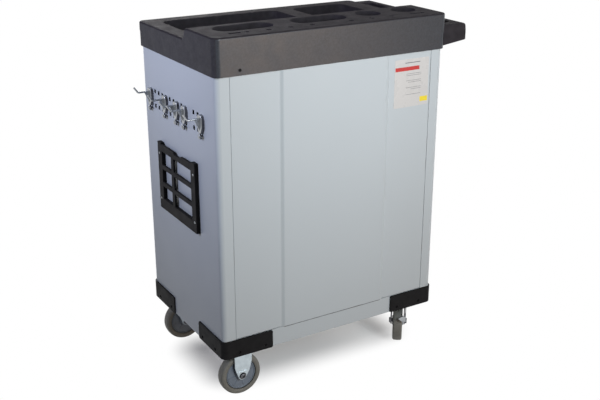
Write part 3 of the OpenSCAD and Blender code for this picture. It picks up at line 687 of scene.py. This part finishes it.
def makeScrews(look):
    bumperPlaces = []
    low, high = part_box("bumper_back_right")
    height = low.z + bumperLook["screwRise"]
    for signs in cornerSigns.values():
        for number, along in enumerate(bumperLook["screwAt"]):
            for spot, direction in (((high.x - along, bodyBack, height), (0, signs[1], 0)),
                                    ((bodyRight, high.y - along, height), (signs[0], 0, 0))):
                bumperPlaces.append(placeAlong(mirrorPlace(signs) @ Vector(spot), direction, 0.5 + number))
    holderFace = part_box("holder_frame")[1].x
    holderPlaces = [placeAlong((holderFace, y, z), (1, 0, 0), 0.3 + 9 * z)
                    for y in look["holderSides"] for z in look["holderHeights"]]
    trayLow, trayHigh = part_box("top_tray")
    face = trayHigh.y - trayLook["creaseInset"]
    apronPlaces = [placeAlong((bodyMid + x, side * face, trayLow.z + look["apronRise"]), (0, side, 0), 0.8)
                   for x, side in look["apronAt"]]
    for name, places, radius, finish, slotName, *nodes in (
            ("bumperScrews", bumperPlaces, look["radius"], bumperBlack, "bumper_black"),
            ("trimScrews", holderPlaces, look["holderRadius"], wireZinc, "zinc_plate", "fixing_screws"),
            ("apronScrews", apronPlaces, look["radius"], bumperBlack, "bumper_black")):
        head = makeScrew(look, radius)
        screws = joinPieces(name, [copyPiece(head, "screw", place) for place in places])
        bpy.data.objects.remove(head)
        dressPiece(screws, "cabinet", finish, slotName, *nodes)


makeScrews(screwLook)
print("screws made")


hookLook = {"halfWidth": 0.012, "rowPitchCount": 13, "hooksAt": (0, 4, 7, 9, 13), "depth": 0.0075,
            "topHalf": 0.008, "topRise": 0.004, "footHalf": 0.005, "footRise": 0.014, "footDrop": 0.001,
            "sheet": 0.0016, "edge": 0.0012, "wireRadius": 0.00225, "lean": 36, "tip": 0.0175,
            "reach": 0.048, "bendRadius": 0.006, "lowRow": 0.6755, "topRow": 0.712,
            "gussetThickness": 0.0024, "gussetReach": 0.013, "gussetEdge": 0.0004,
            "tipEdge": 0.0008, "tongue": (0.0035, 0.002), "tongueReach": (0.0035, 0.0062)}


def hookPlaces(look):
    low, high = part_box("tool_hooks")
    first, last = low.y + look["halfWidth"], high.y - look["halfWidth"]
    pitch = (last - first) / look["rowPitchCount"]
    return [first + pitch * count for count in look["hooksAt"]]


def makeHook(look):
    low, top, half = look["lowRow"], look["topRow"], look["halfWidth"]
    side = [(look["topHalf"], top + look["topRise"]), (half, top - look["topRise"]),
            (half, low + look["footRise"]), (look["footHalf"], low - look["footDrop"])]
    left = [(-y, z) for y, z in side]
    outline = [left[1], left[0], *side, left[3], left[2]]
    plate = traceOutline("plate", [(bodyRight, y, z) for y, z in outline])
    extrudeAll(plate, (look["depth"], 0, 0))
    choose(plate, "FACE", lambda side: side.normal.x < -0.9)
    bpy.ops.mesh.inset(thickness=look["sheet"])
    bpy.ops.transform.translate(value=(look["depth"] - look["sheet"], 0, 0))
    closeMesh()
    face = bodyRight + look["depth"]
    roundEdges(plate, isFolded, look["edge"], 3, lambda spot: spot.x > face - tiny)

    wireHeight = top - look["topRise"]
    lean = math.radians(look["lean"])
    elbow = bodyRight + look["reach"] - look["tip"] * math.sin(lean) - look["wireRadius"] * math.cos(lean)
    bend = look["bendRadius"]
    back = bend * math.tan((math.pi / 2 - lean) / 2)
    points = [(face - 0.001, wireHeight),
              *arcPoints(elbow - back, wireHeight + bend, bend, -90, -look["lean"], 6),
              (elbow + look["tip"] * math.sin(lean), wireHeight + look["tip"] * math.cos(lean))]
    curve = bpy.data.curves.new("wire", "CURVE")
    curve.dimensions = "3D"
    curve.bevel_depth = look["wireRadius"]
    curve.bevel_resolution = 4
    curve.use_fill_caps = True
    line = curve.splines.new("POLY")
    line.points.add(len(points) - 1)
    for spot, (x, z) in zip(line.points, points):
        spot.co = (x, 0, z, 1)
    wire = bpy.data.objects.new("wire", curve)
    bpy.context.scene.collection.objects.link(wire)
    makeActive(wire)
    bpy.ops.object.convert(target="MESH")
    wire = bpy.context.object
    roundEdges(wire, isSharp, look["tipEdge"], 3, lambda spot: spot.x > points[-1][0] - 0.002)

    root, thickness = face - 0.001, look["gussetThickness"]
    corners = ((root, wireHeight), (face + look["gussetReach"], wireHeight), (root, low + 0.003))
    gusset = traceOutline("gusset", [(x, -thickness / 2, z) for x, z in corners])
    extrudeAll(gusset, (0, thickness, 0))
    roundEdges(gusset, isFolded, look["gussetEdge"], 2)
    (wide, tall), (inward, outward) = look["tongue"], look["tongueReach"]
    tongues = [addBlock("tongue", (bodyRight - inward, -wide, z - tall), (bodyRight + outward, wide, z + tall))
               for z in (low, top - 0.0002)]
    return joinPieces("hook", [plate, wire, gusset, *tongues])


knobLook = {"lobes": 5, "innerRadius": 0.0048, "lobeDepth": 0.0024, "thickness": 0.0050, "standOff": 0.0040,
            "lobeShape": 1.5, "turn": 0.3, "edge": 0.0008, "neck": 0.0026, "boss": 0.0034, "bossRise": 0.0018,
            "bossEdge": 0.0005, "drop": 0.0085, "points": 50}


def makeKnob(look):
    centre = hookLook["lowRow"] - look["drop"]
    start = bodyRight + look["standOff"]
    outline = []
    for step in range(look["points"]):
        angle = 2 * math.pi * step / look["points"]
        swell = (0.5 + 0.5 * math.cos(look["lobes"] * angle)) ** look["lobeShape"]
        radius = look["innerRadius"] + look["lobeDepth"] * swell
        angle += look["turn"]
        outline.append((start, radius * math.cos(angle), centre + radius * math.sin(angle)))
    star = traceOutline("star", outline)
    extrudeAll(star, (look["thickness"], 0, 0))
    roundEdges(star, isSharp, look["edge"], 3)
    neck = addRod("neck", (bodyRight, 0, centre), (start + 0.001, 0, centre), look["neck"], 20)
    top = start + look["thickness"]
    boss = addRod("boss", (top - 0.001, 0, centre), (top + look["bossRise"], 0, centre), look["boss"], 24)
    roundEdges(boss, isFolded, look["bossEdge"], 2)
    return joinPieces("knob", [star, neck, boss])


def placeHooks():
    for maker, look, name, node in ((makeHook, hookLook, "wireHooks", "tool_hooks"),
                                    (makeKnob, knobLook, "starKnobs", "hook_knobs")):
        first = maker(look)
        copies = [copyPiece(first, name, Matrix.Translation((0, y, 0))) for y in hookPlaces(hookLook)]
        bpy.data.objects.remove(first)
        fitting = dressPiece(joinPieces(name, copies), "cabinet", wireZinc, "zinc_plate", node)
        fitting.data.materials.append(paintedShadeZinc)
        # painted shade: the sides of the pressed plates take the dark zinc, standing in for the shadow there
        for face in fitting.data.polygons:
            if abs(face.normal.y) > 0.7 and face.center.x < bodyRight + hookLook["depth"] - 0.0004:
                face.material_index = 1


placeHooks()
softenedCopy("holder_frame", "documentHolder", 0.0009, bumperBlack, "bumper_black", 3)
print("hooks and holder made")


# Marks as shares of the card's width and height; a line gives its foot and where it ends
cardLook = {
    "cornerRadius": 0.003, "lift": 0.00006,
    "blocks": [("redInk", (0.28, 0.985), (0.762, 0.842)), ("greyInk", (0.26, 0.70), (0.915, 0.930)),
               ("yellowInk", (0.01, 0.24), (0.080, 0.185))],
    "lines": [(0.690, 0.66), (0.655, 0.66), (0.550, 0.66), (0.515, 0.60), (0.405, 0.66), (0.370, 0.52),
              (0.260, 0.66)],
    "lineStart": 0.22, "lineHeight": 0.007,
}


def makeCard(look):
    low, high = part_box("blank_card")
    card = addBlock("plainCard", low, high - Vector((0, look["lift"], 0)))
    roundEdges(card, lambda edge: abs((edge.verts[0].co - edge.verts[1].co).y) > tiny, look["cornerRadius"], 5)
    dressPiece(card, "cabinet", finishes["whiteFilm"], "white_card", "blank_card")
    size = high - low
    lines = [("greyInk", (look["lineStart"], end), (foot, foot + look["lineHeight"]))
             for foot, end in look["lines"]]
    inks = {}
    for ink, (left, right), (foot, head) in look["blocks"] + lines:
        mark = addBlock(ink, (low.x + size.x * left, high.y - 2 * look["lift"], low.z + size.z * foot),
                        (low.x + size.x * right, high.y, low.z + size.z * head))
        inks.setdefault(ink, []).append(mark)
    for ink, marks in inks.items():
        marks = joinPieces("card" + ink[0].upper() + ink[1:], marks)
        dressPiece(marks, "cabinet", finishes[ink], "white_card")


makeCard(cardLook)
print("card made")


tyreLook = {"radius": 0.0545, "rim": 0.0408, "halfWidth": 0.01275, "shoulder": 0.0055, "crown": 0.0005,
            "lipHalf": 0.0112, "lipTop": 0.0116, "lip": 0.0010, "ringTo": 0.0452, "sideDrop": 0.0003,
            "steps": 96}


def makeTyre(look):
    radius, half, rim = look["radius"], look["halfWidth"], look["rim"]
    lipEnd = rim + look["lip"]
    side = [(rim, look["lipHalf"]), (rim + 0.0003, look["lipTop"]), (lipEnd - 0.0003, look["lipTop"]),
            (lipEnd, look["lipHalf"]), (look["ringTo"] - 0.0012, half - look["sideDrop"]),
            (look["ringTo"], half)]
    shoulder = look["shoulder"]
    side += arcPoints(radius - look["crown"] - shoulder, half - shoulder, shoulder, 90, 0, 8)
    loop = side + [(radius, 0)] + [(r, -w) for r, w in reversed(side)]
    tyre = traceOutline("tyre", [(r, w, 0) for r, w in loop], loop=True)
    return spinAll(tyre, (0, 0, 0), (0, 1, 0), look["steps"])


hubLook = {"bore": 0.00506, "boss": 0.013, "bossHalf": 0.015, "web": 0.0080, "rimInner": 0.0368,
           "rimOuter": 0.0396, "rimHalf": 0.0092, "rimFoot": 0.0066, "rim": 0.0408, "ribs": 8,
           "ribWidth": 0.0016, "ribHeight": 0.0008, "ribEdge": 0.0004, "ribTurn": 0.2, "steps": 80}


def makeHub(look):
    boss, bossHalf, web = look["boss"], look["bossHalf"], look["web"]
    inner, outer, rimHalf = look["rimInner"], look["rimOuter"], look["rimHalf"]
    side = [(look["bore"], bossHalf), (boss - 0.001, bossHalf), (boss, bossHalf - 0.001),
            (boss + 0.0005, web + 0.001), (boss + 0.0015, web), (inner - 0.0015, web),
            (inner - 0.0003, web + 0.0012), (inner, rimHalf - 0.0007), (inner + 0.0007, rimHalf),
            (outer - 0.0007, rimHalf), (outer, rimHalf - 0.0007), (outer, look["rimFoot"] + 0.0006),
            (look["rim"], look["rimFoot"])]
    loop = side + [(r, -w) for r, w in reversed(side)]
    hub = traceOutline("hub", [(r, w, 0) for r, w in loop], loop=True)
    spinAll(hub, (0, 0, 0), (0, 1, 0), look["steps"])
    ribs = []
    for face in (-1, 1):
        near, far = sorted((face * (web - 0.0005), face * (web + look["ribHeight"])))
        rib = addBlock("rib", (boss - 0.0005, near, -look["ribWidth"] / 2),
                       (inner + 0.0005, far, look["ribWidth"] / 2))
        roundEdges(rib, isFolded, look["ribEdge"], 2)
        for count in range(look["ribs"]):
            angle = 2 * math.pi * count / look["ribs"] + look["ribTurn"]
            ribs.append(copyPiece(rib, "rib", Matrix.Rotation(angle, 4, "Y")))
        bpy.data.objects.remove(rib)
    return joinPieces("hub", [hub, *ribs])


axleLook = {"radius": 0.005, "out": 0.019, "washer": 0.0095, "washerHeight": 0.0012, "head": 0.0072,
            "headHeight": 0.0036, "socket": 0.0042, "socketDepth": 0.0030, "nut": 0.0086, "nutHeight": 0.0044,
            "washerEdge": 0.0003, "headEdge": 0.0012, "nutEdge": 0.0006}


def makeAxle(look):
    out = look["out"]
    parts = [addRod("pin", (0, -out, 0), (0, out, 0), look["radius"], 32)]
    seat = out + look["washerHeight"]
    for face in (-1, 1):
        washer = addRod("washer", (0, face * out, 0), (0, face * seat, 0), look["washer"], 40)
        parts.append(roundEdges(washer, isFolded, look["washerEdge"], 2))
    top = seat + look["headHeight"]
    head = addRod("head", (0, seat, 0), (0, top, 0), look["head"], 40)
    roundEdges(head, isFolded, look["headEdge"], 3, lambda spot: spot.y > seat + 0.001)
    cutAway(head, addRod("socket", (0, top - look["socketDepth"], 0), (0, top + 0.002, 0), look["socket"], 6))
    nut = addRod("nut", (0, -seat, 0), (0, -seat - look["nutHeight"], 0), look["nut"], 6)
    roundEdges(nut, isFolded, look["nutEdge"], 2)
    return joinPieces("axle", parts + [head, nut])


# Local frame of a caster: x along its length, y along the axle, z up from the floor
legLook = {"inner": 0.016, "thickness": 0.003, "endRadius": 0.0112, "axle": 0.0545, "edge": 0.0007,
           "bossLift": 0.0016, "bossTop": 0.014, "bossHalf": 0.0150, "bossSide": (0.0065, 0.0070),
           "bossFoot": 0.0100, "bossEdge": 0.0009, "sink": 0.0005}
fixedLeg = {"top": [(0.0180, 0.0703), (0.0206, 0.0809), (0.0206, 0.1410), (0.0246, 0.1550)], "shift": 0.0,
            "bottom": [(-0.0310, 0.1550), (-0.0276, 0.1380), (-0.0263, 0.0923), (-0.0199, 0.0666)]}
swivelLeg = {"top": [(-0.0110, 0.0645), (0.0100, 0.1120), (0.0180, 0.1486)], "shift": -0.032,
             "bottom": [(-0.0240, 0.1486), (-0.0270, 0.1270), (-0.0400, 0.1120), (-0.0510, 0.0605)]}


def makeLegs(look, shape):
    middle = shape["shift"]
    arc = arcPoints(middle, look["axle"], look["endRadius"], 200, 340, 12)
    parts = []
    for face in (-1, 1):
        start = face * look["inner"]
        leg = traceOutline("leg", [(x, start, z) for x, z in shape["bottom"] + arc + shape["top"]])
        extrudeAll(leg, (0, face * look["thickness"], 0))
        roundEdges(leg, isFolded, look["edge"], 2)
        outer = start + face * look["thickness"]
        side, drop = look["bossSide"]
        half, axle, sink = look["bossHalf"], look["axle"], look["sink"]
        pad = [(-half, look["bossTop"]), (-side, -drop), (0, -look["bossFoot"]), (side, -drop),
               (half, look["bossTop"])]
        boss = traceOutline("boss", [(middle + x, outer - face * sink, axle + z) for x, z in pad])
        extrudeAll(boss, (0, face * (look["bossLift"] + sink - 0.0004), 0))
        roundEdges(boss, isFolded, look["bossEdge"], 3, lambda spot: abs(spot.y) > abs(outer) + 0.0004)
        parts += [leg, boss]
    return parts


plateLook = {"length": 0.077, "depth": 0.067, "radius": 0.006, "bottom": 0.155, "thickness": 0.003,
             "edge": 0.0004, "boltAt": (0.030, 0.025), "boltRadius": 0.0055, "boltHeight": 0.004,
             "boltEdge": 0.0005}


def makePlate(look):
    plate = addBlock("plate", (-look["length"] / 2, -look["depth"] / 2, look["bottom"]),
                     (look["length"] / 2, look["depth"] / 2, look["bottom"] + look["thickness"]))
    roundEdges(plate, isUpright, look["radius"], 6)
    roundEdges(plate, isFolded, look["edge"], 2)
    parts = [plate]
    for x in (-1, 1):
        for y in (-1, 1):
            spot = Vector((x * look["boltAt"][0], y * look["boltAt"][1], look["bottom"]))
            bolt = addRod("bolt", spot, spot - Vector((0, 0, look["boltHeight"])), look["boltRadius"], 6)
            parts.append(roundEdges(bolt, isFolded, look["boltEdge"], 2))
    return parts


crownLook = {"bottom": 0.142, "top": 0.1486, "radius": 0.028, "edge": 0.0018}


def makeCasters():
    tyre, hub, axle = makeTyre(tyreLook), makeHub(hubLook), makeAxle(axleLook)
    for number in (1, 2, 3, 4):
        joint = jointPlaces[f"wheel_{number}_roll"]
        centre, along = Vector(joint["pos_m"]), Vector(joint["axis"])
        turn = Matrix.Rotation(math.atan2(-along.x, along.y), 4, "Z")
        place = Matrix.Translation(centre) @ turn
        carrier = "cabinet" if number < 3 else f"fork_{number}"
        axlePlace = place if number != 2 else place @ Matrix.Rotation(math.pi, 4, "Z")
        for part, word, where, body, finish, slotName in (
                (tyre, "tyre", place, f"wheel_{number}", wheelRubber, "tyre_rubber"),
                (hub, "hub", place, f"wheel_{number}", hubPlastic, "hub_plastic"),
                # painted shade: the axles are dark zinc, standing in for the dark of their socket recess
                (axle, "axle", axlePlace, carrier, paintedShadeZinc, "zinc_plate")):
            piece = copyPiece(part, f"{word}{number}", where)
            dressPiece(piece, body, finish, slotName, f"caster_{number}_{word}")
        if number < 3:
            bracket = joinPieces(f"bracket{number}", makeLegs(legLook, fixedLeg) + makePlate(plateLook))
            bracket.data.transform(Matrix.Translation((centre.x, centre.y, 0)))
            dressPiece(bracket, "cabinet", zincPlate, "zinc_plate", f"caster_{number}_bracket")
            continue
        stem = Vector(jointPlaces[f"fork_{number}_swivel"]["pos_m"])
        crown = addRod("crown", (0, 0, crownLook["bottom"]), (0, 0, crownLook["top"]), crownLook["radius"], 64)
        roundEdges(crown, isFolded, crownLook["edge"], 4)
        fork = joinPieces(f"fork{number}", makeLegs(legLook, swivelLeg) + [crown])
        fork.data.transform(Matrix.Translation((stem.x, stem.y, 0)) @ turn)
        # painted shade: the swivel forks are dark zinc, standing in for the shade they sit in
        dressPiece(fork, f"fork_{number}", paintedShadeZinc, "zinc_plate", f"caster_{number}_fork")
        softenedCopy(f"caster_{number}_plate", f"headPlate{number}", 0.0004, zincPlate, "zinc_plate")
        softenedCopy(f"caster_{number}_brake", f"brakeLever{number}", 0.0004, wireZinc, "zinc_plate")
    for piece in (tyre, hub, axle):
        bpy.data.objects.remove(piece)


makeCasters()
print("casters made")


def makeDrawers():
    for number in range(1, 7):
        softenedCopy(f"drawer_{number}", f"drawerBox{number}", 0.0003, paintedSteel, "painted_steel")
        softenedCopy(f"drawer_{number}_pull", f"drawerPull{number}", 0.0004, satinAlloy, "bright_metal")


makeDrawers()
softenedCopy("lock_plug", "lockPlug", 0.0003, satinAlloy, "bright_metal")
softenedCopy("lock_barrel", "lockBarrel", 0.0004, zincPlate, "zinc_plate")
for node in ("uprights", "slide_rails", *(f"drawer_{number}_slides" for number in range(1, 7))):
    frame["nodes"][node].data.materials.clear()
    frame["nodes"][node].data.materials.append(zincPlate)
print("drawers made")


stageLook = {"floorSize": 14.0, "floorLit": (0.18, 0.18, 0.18), "floorSeen": (0.85, 0.83, 0.81),
             "shadeCore": (0.22, 0.067), "shadeReach": 0.120, "white": (0.08, 1.0),
             "worldLight": (0.93, 0.96, 1.0), "worldStrength": 0.10}
lamps = [
    {"name": "lowBack", "place": (-1.0, 2.6, 0.45), "aim": (0.0, 0.2, 0.75), "size": 1.2, "power": 17,
     "colour": (1.0, 0.78, 0.61)},
    {"name": "highBack", "place": (-0.1, 1.9, 1.3), "aim": (0.0, 0.2, 0.85), "size": 0.8, "spread": 90,
     "power": 8.2, "colour": (0.84, 0.93, 1.0)},
    {"name": "hookEnd", "place": (1.5, -0.1, 1.3), "aim": (0.32, 0.0, 0.9), "size": 0.6, "spread": 70,
     "power": 2.5, "colour": (0.69, 0.74, 1.0)},
    {"name": "front", "place": (-0.5, -2.6, 1.0), "aim": (0.0, 0.0, 0.5), "size": 1.4, "power": 48,
     "colour": (1.0, 1.0, 1.0)},
    {"name": "handleEnd", "place": (-2.5, -0.5, 1.6), "aim": (0.0, 0.0, 0.6), "size": 1.2, "power": 30,
     "colour": (1.0, 1.0, 1.0)},
]


# A socket that is 1 for rays from the camera and from glossy surfaces
def seenRay(owner):
    path = addNode(owner, "ShaderNodeLightPath")
    either = addNode(owner, "ShaderNodeMath")
    either.operation = "MAXIMUM"
    connect(owner, path.outputs["Is Camera Ray"], either.inputs[0])
    connect(owner, path.outputs["Is Glossy Ray"], either.inputs[1])
    return either.outputs[0]


def makeFloor(look):
    deselectAll()
    bpy.ops.mesh.primitive_plane_add(size=look["floorSize"], location=(0, 0, 0))
    floor = settle("floor")
    material = bpy.data.materials.new("paleFloor")
    material.use_nodes = True
    material.node_tree.nodes.clear()
    lit = addNode(material, "ShaderNodeBsdfDiffuse", Color=(*look["floorLit"], 1))
    seen = addNode(material, "ShaderNodeBsdfDiffuse", Color=(*look["floorSeen"], 1))
    white = addNode(material, "ShaderNodeEmission", Color=(1, 1, 1, 1), Strength=1)
    place = addNode(material, "ShaderNodeTexCoord").outputs["Object"]
    # how far a point of the floor is outside a rectangle under the cart
    for operation, value in (("SUBTRACT", (bodyMid, 0, 0)), ("ABSOLUTE", None),
                             ("SUBTRACT", (*look["shadeCore"], 0)), ("MAXIMUM", (0, 0, 0)), ("LENGTH", None)):
        step = addNode(material, "ShaderNodeVectorMath")
        step.operation = operation
        connect(material, place, step.inputs[0])
        if value:
            step.inputs[1].default_value = value
        place = step.outputs["Value" if operation == "LENGTH" else "Vector"]
    # painted light: the floor glows more the farther it lies outside the rectangle, washing out the cart's
    # shadow there and setting how fast the shadow fades
    spread = mapRange(material, place, (0, look["shadeReach"]), look["white"])
    spread.interpolation_type = "SMOOTHSTEP"
    shown = mixShaders(material, spread.outputs["Result"], seen.outputs[0], white.outputs[0])
    mixed = mixShaders(material, seenRay(material), lit.outputs[0], shown)
    output = addNode(material, "ShaderNodeOutputMaterial")
    connect(material, mixed, output.inputs["Surface"])
    floor.data.materials.append(material)


def makeWorld(look):
    world = bpy.data.worlds.new("studio")
    bpy.context.scene.world = world
    world.use_nodes = True
    world.node_tree.nodes.clear()
    light = addNode(world, "ShaderNodeBackground", Color=(*look["worldLight"], 1),
                    Strength=look["worldStrength"])
    white = addNode(world, "ShaderNodeBackground", Color=(1, 1, 1, 1))
    mixed = mixShaders(world, seenRay(world), light.outputs[0], white.outputs[0])
    output = addNode(world, "ShaderNodeOutputWorld")
    connect(world, mixed, output.inputs["Surface"])


def makeLamp(look):
    data = bpy.data.lights.new(look["name"], "AREA")
    data.shape = "DISK"
    data.size = look["size"]
    data.spread = math.radians(look.get("spread", 180))
    data.energy = look["power"]
    data.color = look["colour"]
    lamp = bpy.data.objects.new(look["name"], data)
    aimAt(lamp, look)
    bpy.context.scene.collection.objects.link(lamp)


makeFloor(stageLook)
makeWorld(stageLook)
for lamp in lamps:
    makeLamp(lamp)
print("stage made")

deselectAll()
